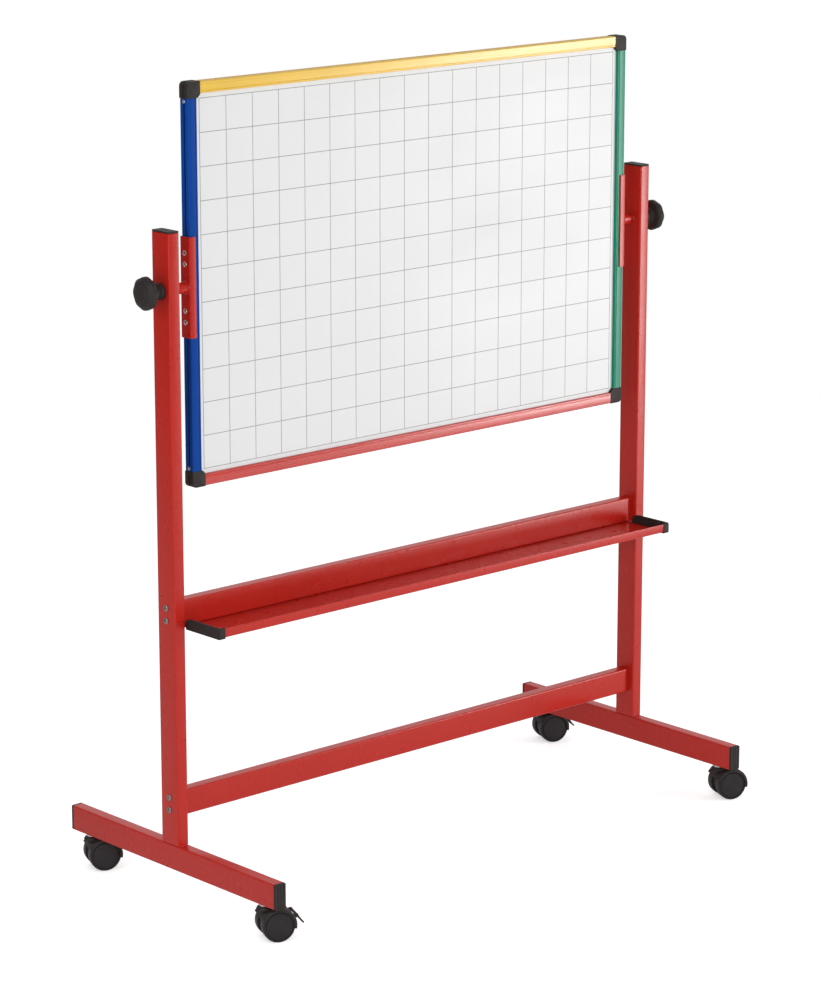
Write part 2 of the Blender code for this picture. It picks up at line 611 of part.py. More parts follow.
# ---------------------------------------------------------------- build
def main():
    for obj in list(bpy.data.objects):
        bpy.data.objects.remove(obj, do_unlink=True)
    mats = {
        "red": material("red_powder_coat", (0.42, 0.016, 0.018), 0.38),
        "yellow": material("yellow_rail", (0.85, 0.55, 0.05), 0.35),
        "blue": material("blue_rail", (0.010, 0.062, 0.30), 0.35),
        "green": material("green_rail", (0.008, 0.22, 0.13), 0.35),
        "plastic": material("black_plastic", (0.02, 0.018, 0.02), 0.45),
        "wheel": material("black_wheel", (0.026, 0.024, 0.026), 0.55),
        "steel": material("bright_steel", (0.62, 0.62, 0.62), 0.3, 1.0),
        "sheet": material("white_enamel", (0.86, 0.87, 0.88), 0.18),
        "core": material("fibre_core", (0.45, 0.34, 0.22), 0.9),
    }
    for side in ("left", "right"):
        upright(side, mats["red"])
        foot(side, mats["red"])
        upright_cap(side, mats["plastic"])
        tray_end_cap(side, mats["plastic"])
        for level, height in (("cross", CROSS_BAR_Z), ("tray", TRAY_BAR_Z)):
            for row, rise in (("lower", -BOLT_RISE), ("upper", BOLT_RISE)):
                bolt(f"{level}_bolt_{row}_{side}", side, height + rise, mats["steel"])
        for end in ("front", "back"):
            foot_plug(side, end, mats["plastic"])
            castor(side, end, mats)
        pivot_bracket(side, mats["red"])
        knob(side, mats["plastic"])
    bar("cross_bar", CROSS_BAR_Z, mats["red"])
    bar("tray_bar", TRAY_BAR_Z, mats["red"])
    tray_shelf(mats["red"])

    inset = CORNER_LEG - CAP_PROUD + GAP
    rail("rail_top", BOARD_W - 2 * inset, -1, BOARD_H / 2, mats["yellow"])
    rail("rail_bottom", BOARD_W - 2 * inset, 1, BOARD_H / 2, mats["red"])
    rail("rail_left", BOARD_H - 2 * inset, 2, BOARD_W / 2, mats["blue"])
    rail("rail_right", BOARD_H - 2 * inset, 0, BOARD_W / 2, mats["green"])
    for name, sign_x, sign_z in (("top_left", -1, 1), ("top_right", 1, 1),
                                 ("bottom_left", -1, -1), ("bottom_right", 1, -1)):
        corner_cap(f"corner_cap_{name}", sign_x, sign_z, mats["plastic"])
    panel(mats)


main()
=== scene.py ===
"""Looks of the rolling whiteboard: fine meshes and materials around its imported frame.

Metres, in the frame's own axes: X along the board, the front face towards -Y, Z up. Every
piece is drawn where the frame's nodes and joints say, with its object at the origin.
"""
import json
from math import atan2, cos, degrees, pi, radians, sin

import bmesh
import bpy
from mathutils import Matrix, Vector


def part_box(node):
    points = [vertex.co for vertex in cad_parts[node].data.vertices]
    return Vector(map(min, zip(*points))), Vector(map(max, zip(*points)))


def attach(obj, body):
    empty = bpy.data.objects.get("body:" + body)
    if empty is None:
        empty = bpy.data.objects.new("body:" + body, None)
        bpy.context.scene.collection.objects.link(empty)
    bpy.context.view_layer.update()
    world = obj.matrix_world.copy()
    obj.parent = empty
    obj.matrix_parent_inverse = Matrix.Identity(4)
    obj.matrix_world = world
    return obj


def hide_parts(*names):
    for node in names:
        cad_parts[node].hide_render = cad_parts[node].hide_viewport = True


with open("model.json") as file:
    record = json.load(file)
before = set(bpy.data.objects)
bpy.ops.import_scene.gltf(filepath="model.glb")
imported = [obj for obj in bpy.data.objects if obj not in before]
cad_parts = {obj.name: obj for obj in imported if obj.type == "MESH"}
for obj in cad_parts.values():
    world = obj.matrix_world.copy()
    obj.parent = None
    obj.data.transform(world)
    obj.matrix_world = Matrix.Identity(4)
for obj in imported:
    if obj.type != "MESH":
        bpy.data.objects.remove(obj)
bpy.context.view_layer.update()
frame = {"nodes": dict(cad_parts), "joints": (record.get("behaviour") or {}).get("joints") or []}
JOINTS = {joint["name"]: joint for joint in frame["joints"]}

MM = 0.001
X_AXIS, Y_AXIS, Z_AXIS = Vector((1, 0, 0)), Vector((0, 1, 0)), Vector((0, 0, 1))
SIDES = (("left", -1), ("right", 1))
ENDS = (("front", -1), ("back", 1))
PIVOT = Vector(JOINTS["board_turn"]["pos_m"])


# ---------------------------------------------------------------- materials
class Shader:
    """A Principled material whose detail nodes all work in the frame's metres."""

    def __init__(self, name, colour, roughness, metallic=0.0, **sockets):
        self.mat = bpy.data.materials.new(name)
        self.mat.use_nodes = True
        self.tree = self.mat.node_tree
        self.main = self.tree.nodes["Principled BSDF"]
        self.colour = colour
        self.put("Base Color", (*colour, 1.0))
        self.put("Roughness", roughness)
        self.put("Metallic", metallic)
        for socket, value in sockets.items():
            self.put(socket.replace("_", " "), value)
        self.metres = self.node("ShaderNodeTexCoord").outputs["Object"]

    def put(self, socket, value):
        self.main.inputs[socket].default_value = value

    def node(self, kind, links=(), **settings):
        made = self.tree.nodes.new(kind)
        for key, value in settings.items():
            setattr(made, key, value)
        for socket, value in dict(links).items():
            if isinstance(value, bpy.types.NodeSocket):
                self.tree.links.new(value, made.inputs[socket])
            else:
                made.inputs[socket].default_value = value
        return made

    def link(self, output, socket):
        self.tree.links.new(output, self.main.inputs[socket])

    def stretched(self, scale):
        """The metre coordinates, stretched along the axes."""
        return self.node("ShaderNodeMapping", {"Vector": self.metres, "Scale": scale}).outputs[0]

    def noise(self, per_metre, detail=2.0, rough=0.5, vector=None):
        links = {"Vector": vector or self.metres, "Scale": per_metre, "Detail": detail,
                 "Roughness": rough}
        return self.node("ShaderNodeTexNoise", links).outputs["Fac"]

    def cells(self, per_metre):
        links = {"Vector": self.metres, "Scale": per_metre}
        return self.node("ShaderNodeTexVoronoi", links).outputs["Distance"]

    def spread(self, value, low, high, to_low, to_high):
        """The value's range from low to high, laid over another range."""
        links = {"Value": value, "From Min": low, "From Max": high,
                 "To Min": to_low, "To Max": to_high}
        return self.node("ShaderNodeMapRange", links).outputs[0]

    def blend(self, amount, colour_a, colour_b):
        mix = self.node("ShaderNodeMix", data_type="RGBA")
        self.tree.links.new(amount, mix.inputs["Factor"])
        for socket, colour in (("A", colour_a), ("B", colour_b)):
            place = [s for s in mix.inputs if s.name == socket and s.type == "RGBA"][0]
            if isinstance(colour, bpy.types.NodeSocket):
                self.tree.links.new(colour, place)
            else:
                place.default_value = (*colour, 1.0)
        return [s for s in mix.outputs if s.type == "RGBA"][0]

    def bump(self, height, strength, depth, under=None):
        links = {"Height": height, "Strength": strength, "Distance": depth}
        if under:
            links["Normal"] = under
        return self.node("ShaderNodeBump", links).outputs["Normal"]

    def edge_mask(self, width):
        """1 on a convex or concave edge and 0 on a flat, from the bevel node."""
        soft = self.node("ShaderNodeBevel", {"Radius": width}, samples=4).outputs[0]
        hard = self.node("ShaderNodeNewGeometry").outputs["Normal"]
        dot = self.node("ShaderNodeVectorMath", operation="DOT_PRODUCT")
        self.tree.links.new(soft, dot.inputs[0])
        self.tree.links.new(hard, dot.inputs[1])
        return self.spread(dot.outputs["Value"], 0.995, 0.90, 0.0, 1.0)


def tint(colour, factor):
    return tuple(min(1.0, channel * factor) for channel in colour)


def powder_coat(name, colour, roughness=0.28):
    """Baked powder coat: orange peel, slow colour drift, and a patchy painted highlight along its
    edges.
    """
    coat = Shader(name, colour, roughness, Specular_IOR_Level=0.35)
    drift = coat.spread(coat.noise(5.0, 3.0), 0.3, 0.7, 0.0, 1.0)
    body = coat.blend(drift, tint(colour, 0.96), tint(colour, 1.04))
    # Painted highlight: the base colour is lightened in patches along the edges, where their rounding
    # catches light.
    painted_edge_highlight = coat.node("ShaderNodeMath", operation="MULTIPLY")
    coat.tree.links.new(coat.edge_mask(0.7 * MM), painted_edge_highlight.inputs[0])
    coat.tree.links.new(coat.spread(coat.noise(60.0, 3.0), 0.45, 0.75, 0.0, 0.18), painted_edge_highlight.inputs[1])
    coat.link(coat.blend(painted_edge_highlight.outputs[0], body, tint(colour, 1.5)), "Base Color")
    coat.link(coat.spread(coat.noise(35.0, 4.0), 0.3, 0.7, roughness - 0.015, roughness + 0.02),
              "Roughness")
    peel = coat.bump(coat.noise(420.0, 1.5), 0.04, 0.12 * MM)
    coat.link(coat.bump(coat.noise(1500.0, 1.0), 0.03, 0.05 * MM, peel), "Normal")
    return coat.mat


def lacquer(name, colour, along, gloss):
    """Lacquered extrusion: faint die lines along the rail under a smooth gloss."""
    coat = Shader(name, colour, 0.27, Specular_IOR_Level=gloss)
    scale = (3.0, 1400.0, 1400.0) if along == "X" else (1400.0, 1400.0, 3.0)
    lines = coat.noise(1.0, 2.0, vector=coat.stretched(scale))
    drift = coat.spread(coat.noise(9.0, 2.0), 0.3, 0.7, 0.0, 1.0)
    coat.link(coat.blend(drift, tint(colour, 0.95), tint(colour, 1.05)), "Base Color")
    coat.link(coat.spread(lines, 0.3, 0.7, 0.23, 0.31), "Roughness")
    coat.link(coat.bump(lines, 0.12, 0.04 * MM), "Normal")
    return coat.mat


def moulded(name, colour, roughness, grain, depth):
    """Spark-textured plastic, with a painted highlight that lightens the base colour along its edges.
    """
    skin = Shader(name, colour, roughness, Specular_IOR_Level=0.25)
    # Painted highlight: the base colour is lightened up to 1.9 times along every edge.
    painted_edge_highlight = skin.edge_mask(0.8 * MM)
    drift = skin.spread(skin.noise(70.0, 4.0), 0.3, 0.7, 0.0, 1.0)
    body = skin.blend(drift, tint(colour, 0.88), tint(colour, 1.14))
    skin.link(skin.blend(painted_edge_highlight, body, tint(colour, 1.9)), "Base Color")
    skin.link(skin.spread(skin.noise(160.0, 3.0), 0.3, 0.7, roughness - 0.06, roughness + 0.07),
              "Roughness")
    fine = skin.bump(skin.noise(grain, 2.0), 0.22, depth)
    skin.link(skin.bump(skin.cells(grain * 0.6), 0.12, depth, fine), "Normal")
    return skin.mat


def plated(name, colour):
    """Plated steel with a fine turned grain and slightly cloudy plating."""
    metal = Shader(name, colour, 0.27, 1.0)
    cloud = metal.spread(metal.noise(240.0, 3.0), 0.3, 0.7, 0.0, 1.0)
    metal.link(metal.blend(cloud, tint(colour, 0.86), tint(colour, 1.12)), "Base Color")
    metal.link(metal.spread(metal.noise(900.0, 2.0), 0.3, 0.7, 0.20, 0.38), "Roughness")
    metal.link(metal.bump(metal.noise(2600.0, 1.0), 0.10, 0.03 * MM), "Normal")
    return metal.mat


def enamel(name):
    """Vitreous white enamel under a gloss coat, with the dull ghosts of wiped pen."""
    face = Shader(name, (0.725, 0.73, 0.735), 0.28, Specular_IOR_Level=0.18)
    wiped = face.noise(1.0, 4.0, 0.6, vector=face.stretched((3.0, 3.0, 9.0)))
    ghost = face.spread(wiped, 0.52, 0.75, 0.0, 0.35)
    face.link(face.blend(ghost, (0.725, 0.73, 0.735), (0.69, 0.70, 0.71)), "Base Color")
    face.link(face.spread(wiped, 0.35, 0.75, 0.28, 0.40), "Roughness")
    face.link(face.bump(face.noise(70.0, 2.0), 0.03, 0.08 * MM), "Normal")
    return face.mat


def fibreboard(name):
    """Raw edge of the panel core."""
    board = Shader(name, (0.42, 0.31, 0.20), 0.9)
    fibres = board.noise(900.0, 4.0, vector=board.stretched((1.0, 5.0, 1.0)))
    board.link(board.blend(fibres, (0.33, 0.23, 0.14), (0.52, 0.40, 0.27)), "Base Color")
    board.link(board.bump(fibres, 0.5, 0.2 * MM), "Normal")
    return board.mat


RED = (0.46, 0.015, 0.008)
MATS = {
    "red_coat": powder_coat("red_powder_coat", RED),
    "red_rail_coat": lacquer("red_rail_lacquer", (0.50, 0.026, 0.018), "X", 0.75),
    "yellow_coat": lacquer("yellow_rail_lacquer", (0.76, 0.475, 0.040), "X", 0.6),
    "blue_coat": lacquer("blue_rail_lacquer", (0.006, 0.054, 0.285), "Z", 0.05),
    "green_coat": lacquer("green_rail_lacquer", (0.005, 0.22, 0.13), "Z", 0.2),
    "black_plastic": moulded("black_moulded_plastic", (0.022, 0.018, 0.017), 0.55, 1500.0, 0.06 * MM),
    "wheel_plastic": moulded("black_wheel_nylon", (0.021, 0.018, 0.019), 0.44, 700.0, 0.04 * MM),
    "bright_steel": plated("zinc_plated_steel", (0.62, 0.62, 0.61)),
    "white_enamel": enamel("white_enamel"),
    "fibreboard": fibreboard("fibreboard"),
}


def ink():
    """Printed squares: thin grey ink, a little uneven along the lines."""
    line = Shader("grey_printed_ink", (0.22, 0.23, 0.24), 0.45)
    patchy = line.spread(line.noise(120.0, 3.0), 0.3, 0.7, 0.0, 1.0)
    line.link(line.blend(patchy, (0.19, 0.20, 0.21), (0.26, 0.27, 0.28)), "Base Color")
    line.link(line.spread(line.noise(400.0), 0.3, 0.7, 0.40, 0.55), "Roughness")
    return line.mat


INK = ink()
# Steel of the screw heads, set darker than the other plated steel.
DARK_STEEL = plated("darkened_screw_steel", (0.30, 0.28, 0.27))


# ---------------------------------------------------------------- mesh helpers
def arc(centre, radius, first, last, steps):
    """Points on an arc, angles in degrees."""
    turn = [radians(first + (last - first) * i / steps) for i in range(steps + 1)]
    return [(centre[0] + radius * cos(a), centre[1] + radius * sin(a)) for a in turn]


def soften(corners, steps=5, closed=True):
    """An outline of (a, b, radius) corners with each corner rounded to its radius."""
    points = []
    count = len(corners)
    for i, (a, b, radius) in enumerate(corners):
        here = Vector((a, b))
        at_end = not closed and i in (0, count - 1)
        if radius <= 0 or at_end:
            points.append((a, b))
            continue
        back = (Vector(corners[i - 1][:2]) - here).normalized()
        ahead = (Vector(corners[(i + 1) % count][:2]) - here).normalized()
        half = back.angle(ahead) / 2
        middle = here + (back + ahead).normalized() * (radius / sin(half))
        start = here + back * (radius * cos(half) / sin(half)) - middle
        end = here + ahead * (radius * cos(half) / sin(half)) - middle
        turn = start.angle_signed(end)
        for k in range(steps + 1):
            spoke = Matrix.Rotation(-turn * k / steps, 2) @ start
            points.append(tuple(middle + spoke))
    return points


def lifted(axis, point, along):
    """A point of a YZ, XZ or XY outline, for the axis X, Y or Z."""
    return {"X": (along, point[0], point[1]), "Y": (point[0], along, point[1]),
            "Z": (point[0], point[1], along)}[axis]


def prism(outline, axis, start, end):
    bm = bmesh.new()
    rings = [[bm.verts.new(lifted(axis, p, along)) for p in outline] for along in (start, end)]
    for ring in rings:
        bm.faces.new(ring)
    for i in range(len(outline)):
        j = (i + 1) % len(outline)
        bm.faces.new((rings[0][i], rings[0][j], rings[1][j], rings[1][i]))
    bmesh.ops.recalc_face_normals(bm, faces=bm.faces)
    return bm


def pipe(outer, inner, axis, start, end):
    """A prism with a hole right through it. Both outlines have as many points."""
    bm = bmesh.new()
    loops = [[[bm.verts.new(lifted(axis, p, along)) for p in outline] for along in (start, end)]
             for outline in (outer, inner)]
    for i in range(len(outer)):
        j = (i + 1) % len(outer)
        for low, high in loops:
            bm.faces.new((low[i], low[j], high[j], high[i]))
        for end_index in (0, 1):
            big, small = loops[0][end_index], loops[1][end_index]
            bm.faces.new((big[i], big[j], small[j], small[i]))
    bmesh.ops.recalc_face_normals(bm, faces=bm.faces)
    return bm


def lathe(profile, axis, centre, sides=48, rule=None):
    """Turn (along, radius) points about an axis. A radius of 0 closes an end."""
    bm = bmesh.new()
    along = {"X": X_AXIS, "Y": Y_AXIS, "Z": Z_AXIS}[axis]
    side_a = {"X": Y_AXIS, "Y": Z_AXIS, "Z": X_AXIS}[axis]
    side_b = along.cross(side_a)
    centre = Vector(centre)
    rings = []
    for place, radius in profile:
        if radius <= 0:
            rings.append([bm.verts.new(centre + along * place)])
            continue
        ring = []
        for i in range(sides):
            angle = 2 * pi * i / sides
            reach = rule(place, radius, angle) if rule else radius
            spoke = side_a * cos(angle) + side_b * sin(angle)
            ring.append(bm.verts.new(centre + along * place + spoke * reach))
        rings.append(ring)
    for low, high in zip(rings, rings[1:]):
        for i in range(sides):
            j = (i + 1) % sides
            corners = [low[i % len(low)], low[j % len(low)],
                       high[j % len(high)], high[i % len(high)]]
            bm.faces.new(list(dict.fromkeys(corners)))
    for end in (rings[0], rings[-1]):
        if len(end) > 1:
            bm.faces.new(end)
    bmesh.ops.recalc_face_normals(bm, faces=bm.faces)
    return bm


def block(low, high):
    return prism([(low[0], low[1]), (high[0], low[1]), (high[0], high[1]), (low[0], high[1])],
                 "Z", low[2], high[2])


def combine(base, others, operation):
    """Boolean of closed meshes, with Blender's exact solver."""
    made = []
    for bm in (base, *others):
        mesh = bpy.data.meshes.new("temporary")
        bm.to_mesh(mesh)
        bm.free()
        made.append(bpy.data.objects.new("temporary", mesh))
        bpy.context.scene.collection.objects.link(made[-1])
    for tool in made[1:]:
        step = made[0].modifiers.new("step", "BOOLEAN")
        step.operation = operation
        step.solver = "EXACT"
        step.object = tool
    bpy.context.view_layer.update()
    seen = made[0].evaluated_get(bpy.context.evaluated_depsgraph_get())
    result = bmesh.new()
    result.from_mesh(seen.to_mesh())
    seen.to_mesh_clear()
    for obj in made:
        bpy.data.objects.remove(obj, do_unlink=True)
    return result


def cut(base, *cutters):
    return combine(base, cutters, "DIFFERENCE")


def fuse(base, *others):
    return combine(base, others, "UNION")


def moved(bm, matrix):
    bmesh.ops.transform(bm, matrix=matrix, verts=bm.verts)
    if matrix.determinant() < 0:
        bmesh.ops.reverse_faces(bm, faces=bm.faces)
    return bm


def sided(bm, sign):
    """The shape drawn on the +X side, or its mirror image on the other."""
    return moved(bm, Matrix.Diagonal((sign, 1, 1, 1))) if sign < 0 else bm


def piece(name, bm, slot, body, stands_for=(), mat=None, bevel=0.0, angle=32, segments=3):
    """Make a finished piece of a closed mesh, and let it ride on a body of the frame."""
    mesh = bpy.data.meshes.new(name)
    bm.to_mesh(mesh)
    bm.free()
    mesh.materials.append(mat or MATS[slot])
    obj = bpy.data.objects.new(name, mesh)
    bpy.context.scene.collection.objects.link(obj)
    mesh.shade_smooth()
    mesh.set_sharp_from_angle(angle=radians(angle))
    if bevel:
        rounding = obj.modifiers.new("rounding", "BEVEL")
        rounding.width = bevel
        rounding.segments = segments
        rounding.limit_method = "ANGLE"
        rounding.angle_limit = radians(angle)
        rounding.harden_normals = True
    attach(obj, body)
    if stands_for:
        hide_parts(*([stands_for] if isinstance(stands_for, str) else stands_for))
    return obj


def keep(node, slot, bevel=0.0):
    """A CAD node that stays as it is, with its detailed material."""
    obj = frame["nodes"][node]
    obj.data.materials.clear()
    obj.data.materials.append(MATS[slot])
    obj.data.shade_smooth()
    obj.data.set_sharp_from_angle(angle=radians(32))
    if bevel:
        rounding = obj.modifiers.new("rounding", "BEVEL")
        rounding.width = bevel
        rounding.segments = 3
        rounding.limit_method = "ANGLE"
        rounding.angle_limit = radians(32)
        rounding.harden_normals = True
    return obj


GAP = 0.3 * MM              # clearance that the frame keeps between neighbours
TUBE_R = 2.5 * MM
TUBE_WALL = 1.5 * MM


def rounded(centre, half_a, half_b, radius, steps=7):
    a, b = centre
    corners = [(a + half_a, b + half_b, radius), (a - half_a, b + half_b, radius),
               (a - half_a, b - half_b, radius), (a + half_a, b - half_b, radius)]
    return soften(corners, steps)


# ---------------------------------------------------------------- stand
def steel_tube(node, axis):
    """Rectangular tube with drawn corners, over the CAD tube's own box."""
    low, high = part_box(node)
    index = "XYZ".index(axis)
    a, b = [i for i in range(3) if i != index]
    centre = ((low[a] + high[a]) / 2, (low[b] + high[b]) / 2)
    half_a, half_b = (high[a] - low[a]) / 2, (high[b] - low[b]) / 2
    outer = rounded(centre, half_a, half_b, TUBE_R)
    inner = rounded(centre, half_a - TUBE_WALL, half_b - TUBE_WALL, TUBE_R - TUBE_WALL)
    piece(f"{node}_tube", pipe(outer, inner, axis, low[index], high[index]), "red_coat", "stand",
          stands_for=node)


def end_plates(node):
    """The tapped plates that close a bar's ends."""
    low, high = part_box(node)
    thick = 4 * MM
    half_y, half_z = (high.y - low.y) / 2 - TUBE_WALL, (high.z - low.z) / 2 - TUBE_WALL
    outline = rounded(((low.y + high.y) / 2, (low.z + high.z) / 2), half_y, half_z, 1 * MM)
    for side, sign in SIDES:
        end = sign * (high.x - 0.2 * MM)
        plate = prism(outline, "X", min(end, end - sign * thick), max(end, end - sign * thick))
        piece(f"{node}_plate_{side}", plate, "red_coat", "stand", bevel=0.2 * MM)


def weld_bead(name, start, end, radius, seed):
    """A rippled fillet of weld metal from one point to the other, under the paint."""
    along = end - start
    steps, sides = 60, 14
    bm = bmesh.new()
    rings = []
    side = along.normalized().cross(Z_AXIS)
    for i in range(steps + 1):
        t = i / steps
        ease = min(1.0, 6 * t, 6 * (1 - t)) ** 0.5
        ripple = 1 + 0.10 * sin(2 * pi * 13 * t + seed) + 0.05 * sin(2 * pi * 5 * t + 2 * seed)
        reach = radius * max(0.15, ease) * ripple
        rings.append([bm.verts.new(start + along * t + reach * (side * cos(a) + Z_AXIS * sin(a)))
                      for a in (2 * pi * k / sides for k in range(sides))])
    for low, high in zip(rings, rings[1:]):
        for k in range(sides):
            j = (k + 1) % sides
            bm.faces.new((low[k], low[j], high[j], high[k]))
    bm.faces.new(rings[0])
    bm.faces.new(rings[-1])
    bmesh.ops.recalc_face_normals(bm, faces=bm.faces)
    piece(name, bm, "red_coat", "stand", angle=60)


def welds():
    """Fillets in front of and behind each upright, where it stands on its foot."""
    for side, sign in SIDES:
        low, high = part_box(f"upright_{side}")
        foot_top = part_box(f"foot_{side}")[1].z
        inset = 2.6 * MM
        for end, face in (("front", low.y), ("back", high.y)):
            name = f"weld_{end}_{side}"
            weld_bead(name, Vector((low.x + inset, face, foot_top)),
                      Vector((high.x - inset, face, foot_top)), 1.7 * MM, 3 * sign + face)


def button_screw(name, node, sign):
    """Button-head socket screw over the CAD screw."""
    low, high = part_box(node)
    head_t = 2.2 * MM
    centre = (max(abs(low.x), abs(high.x)) - head_t, 0.0, (low.z + high.z) / 2)
    length = high.x - low.x - head_t
    head = soften([(-length, 0, 0), (-length, 2.6 * MM, 0), (-length + 0.5 * MM, 3 * MM, 0),
                   (0, 3 * MM, 0), (0, 5 * MM, 0.25 * MM), (0.7 * MM, 5 * MM, 0.3 * MM),
                   (1.7 * MM, 4.1 * MM, 1.2 * MM), (head_t, 2.8 * MM, 0.3 * MM),
                   (head_t, 0, 0)], 4, closed=False)
    socket = lathe([(0.6 * MM, 0), (0.9 * MM, 1.9 * MM), (4 * MM, 1.9 * MM), (4 * MM, 0)],
                   "X", centre, 6)
    shape = cut(lathe(head, "X", centre, 40), socket)
    piece(name, sided(shape, sign), "bright_steel", "stand", stands_for=node, mat=DARK_STEEL)


def tray():
    low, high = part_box("tray_shelf")
    thick = 1.5 * MM
    floor = low.z + thick
    outline = soften([(high.y, floor, 0.2 * MM), (high.y, low.z, 0.2 * MM),
                      (low.y, low.z, 2.6 * MM), (low.y, high.z, 0.55 * MM),
                      (low.y + thick, high.z, 0.55 * MM), (low.y + thick, floor, 1.1 * MM)], 6)
    piece("tray_shelf_sheet", prism(outline, "X", low.x, high.x), "red_coat", "stand",
          stands_for="tray_shelf", bevel=0.25 * MM)
    for side, sign in SIDES:
        tray_end_cap(side, sign, low, high, floor, thick)


def tray_end_cap(side, sign, shelf_low, shelf_high, floor, thick):
    """Moulded end cap: a wall over the shelf's end, hemmed round its sheet, with two ribs."""
    low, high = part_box(f"tray_end_cap_{side}")
    skin, radius, wall = 1.4 * MM, 3 * MM, 2.2 * MM
    out = max(abs(low.x), abs(high.x))
    inner = min(abs(low.x), abs(high.x))
    inside_lip = shelf_low.y + thick + GAP
    outline = soften([(high.y, high.z - 4 * MM, 1.5 * MM), (high.y, low.z, 1 * MM),
                      (low.y, low.z, radius), (low.y, high.z, radius),
                      (high.y - 10 * MM, high.z, 4 * MM)], 7)
    end_wall = prism(outline, "X", out - wall, out)
    hem = soften([(high.y, low.z + skin, 0.3 * MM), (high.y, low.z, 0.4 * MM),
                  (low.y, low.z, radius), (low.y, high.z, radius),
                  (inside_lip + skin, high.z, 1.1 * MM), (inside_lip + skin, high.z - 5 * MM, 0.5 * MM),
                  (inside_lip, high.z - 5 * MM, 0.2 * MM), (inside_lip, high.z - skin, 0.3 * MM),
                  (low.y + skin, high.z - skin, 1.2 * MM), (low.y + skin, low.z + skin, 1.4 * MM)], 7)
    shape = fuse(end_wall, prism(hem, "X", inner, out - wall / 2))
    piece(f"tray_cap_{side}", sided(shape, sign), "black_plastic", "stand",
          stands_for=f"tray_end_cap_{side}", bevel=0.45 * MM)
    rib = soften([(inside_lip + 3 * MM, floor + GAP, 0), (high.y - 1 * MM, floor + GAP, 0),
                  (high.y - 1 * MM, floor + 7 * MM, 1.5 * MM),
                  (inside_lip + 3 * MM, high.z - 3 * MM, 1.5 * MM)], 4)
    inner_wall = prism(rib, "X", out - wall - 3.2 * MM, out - wall - GAP)
    piece(f"tray_cap_fence_{side}", sided(inner_wall, sign), "black_plastic", "stand",
          bevel=0.6 * MM)


def upright_cap(side, sign):
    low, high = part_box(f"upright_cap_{side}")
    flange = 2.6 * MM
    centre = ((low.x + high.x) / 2, 0)
    half_a, half_b = (high.x - low.x) / 2, (high.y - low.y) / 2
    top = prism(rounded(centre, half_a, half_b, TUBE_R), "Z", high.z - flange, high.z)
    piece(f"top_cap_{side}", top, "black_plastic", "stand", stands_for=f"upright_cap_{side}",
          bevel=0.8 * MM, segments=5)
    fit = TUBE_WALL + GAP
    stub = pipe(rounded(centre, half_a - fit, half_b - fit, 0.8 * MM),
                rounded(centre, half_a - fit - 2 * MM, half_b - fit - 2 * MM, 0.8 * MM),
                "Z", low.z, high.z - flange - 0.05 * MM)
    piece(f"top_cap_stub_{side}", stub, "black_plastic", "stand")


def foot_plug(side, end, sign_y):
    """Ribbed end plug. Three grooves leave four upright ribs on its face."""
    node = f"foot_plug_{end}_{side}"
    low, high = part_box(node)
    flange, deep = 4 * MM, 0.9 * MM
    centre = ((low.x + high.x) / 2, (low.z + high.z) / 2)
    half_a, half_b = (high.x - low.x) / 2, (high.z - low.z) / 2
    outer = high.y if sign_y > 0 else low.y
    root = outer - sign_y * flange
    head = prism(rounded(centre, half_a, half_b, TUBE_R), "Y", min(root, outer), max(root, outer))
    grooves = []
    for i in (-1, 0, 1):
        middle = centre[0] + i * half_a / 2
        grooves.append(lathe([(low.z - 2 * MM, 0), (low.z - 2 * MM, deep), (high.z + 2 * MM, deep),
                              (high.z + 2 * MM, 0)], "Z", (middle, outer, 0), 20))
    piece(f"{node}_face", cut(head, *grooves), "black_plastic", "stand", stands_for=node,
          bevel=0.35 * MM)
    fit = TUBE_WALL + GAP
    inner_end = low.y if sign_y > 0 else high.y
    start, stop = sorted((inner_end, root - sign_y * 0.05 * MM))
    stub = pipe(rounded(centre, half_a - fit, half_b - fit, 0.8 * MM),
                rounded(centre, half_a - fit - 2 * MM, half_b - fit - 2 * MM, 0.8 * MM),
                "Y", start, stop)
    piece(f"{node}_stub", stub, "black_plastic", "stand")


def stand():
    for side, sign in SIDES:
        steel_tube(f"upright_{side}", "Z")
        steel_tube(f"foot_{side}", "Y")
        upright_cap(side, sign)
        for end, sign_y in ENDS:
            foot_plug(side, end, sign_y)
            keep(f"castor_stem_{end}_{side}", "bright_steel")
        for level in ("cross", "tray"):
            for row in ("lower", "upper"):
                name = f"{level}_bolt_{row}_{side}"
                button_screw(f"{name}_screw", name, sign)
    for node in ("cross_bar", "tray_bar"):
        steel_tube(node, "X")
        end_plates(node)
    welds()
    tray()


# ---------------------------------------------------------------- board
GROOVE_IN = 8.7 * MM        # bottom of the rails' groove, from the outer edge
GROOVE_HALF = 3.8 * MM
SLOT_HALF = 2.2 * MM        # slot down the rails' outer side
CHAMBER = (3.1 * MM, 7.2 * MM, 6.4 * MM)    # chamber behind it: from, to, half depth
CAP_PROUD = 0.6 * MM
RAIL_SCREW_RISE = 272 * MM  # the rail screws, above and below the pivots
RAIL_SCREW_R = 2.8 * MM


def rail_section():
    """Square section: a T-slot down its side, a quirk near the inner edge and the groove."""
    low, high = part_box("rail_right")
    width, half = high.x - low.x, high.y
    near, far, room = CHAMBER
    front = [(far, -room, 0), (near, -room, 0), (near, -SLOT_HALF, 0.2 * MM),
             (0, -SLOT_HALF, 0.3 * MM), (0, -half, 1.8 * MM)]
    front += [(width - inwards * MM, sunk * MM - half, 0.2 * MM)
              for inwards, sunk in ((4.1, 0), (3.8, 0.9), (3.0, 0.9), (2.7, 0))]
    front += [(width, -half, 1.6 * MM), (width, -GROOVE_HALF, 0.3 * MM),
              (GROOVE_IN, -GROOVE_HALF, 0)]
    back = [(s, -d, r) for s, d, r in reversed(front)]
    return soften(front + back, 6)


